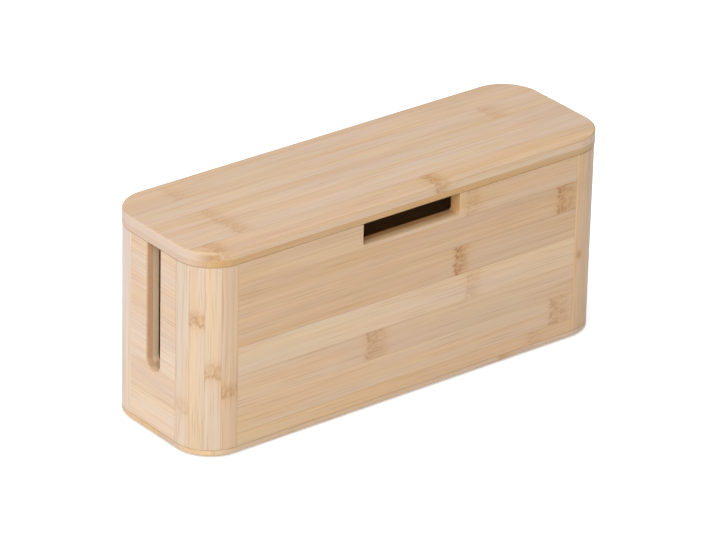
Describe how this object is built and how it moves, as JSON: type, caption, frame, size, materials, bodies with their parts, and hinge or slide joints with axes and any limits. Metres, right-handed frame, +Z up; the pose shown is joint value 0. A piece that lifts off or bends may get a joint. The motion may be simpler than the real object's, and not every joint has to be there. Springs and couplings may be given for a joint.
{
  "type": "cable management box",
  "caption": "Long bamboo cable box with rounded corners, a lift-off lid, an open-topped lead slot in each end and a cut-out under the lid at the front.",
  "frame": {"origin": "on the surface that the pads stand on, under the middle of the box", "axes": "+X along the length of the box, -Y out of the front with the cut-out, +Z up"},
  "size_m": [0.3206, 0.1006, 0.1395],
  "materials": {
    "bamboo_lid": "satin clear lacquer",
    "bamboo_panel": "satin clear lacquer",
    "bamboo_end": "satin clear lacquer",
    "bamboo_post": "satin clear lacquer",
    "bamboo_bottom": "satin clear lacquer",
    "screw_steel": "zinc plated",
    "pad_rubber": "matt"
  },
  "bodies": {
    "box": {"front_panel": "bamboo_panel", "back_panel": "bamboo_panel", "left_end_panel": "bamboo_end", "right_end_panel": "bamboo_end", "post_front_left": "bamboo_post", "post_front_right": "bamboo_post", "post_back_left": "bamboo_post", "post_back_right": "bamboo_post", "bottom_board": "bamboo_bottom", "bottom_screws": "screw_steel", "pad_front_left": "pad_rubber", "pad_front_right": "pad_rubber", "pad_back_left": "pad_rubber", "pad_back_right": "pad_rubber"},
    "lid": {"lid": "bamboo_lid", "lid_batten_left": "bamboo_lid", "lid_batten_right": "bamboo_lid"}
  },
  "joints": [
    {"name": "lid_lift", "type": "slide", "parent": "box", "child": "lid", "axis": [0, 0, 1], "range_m": [0, 0.08]}
  ]
}
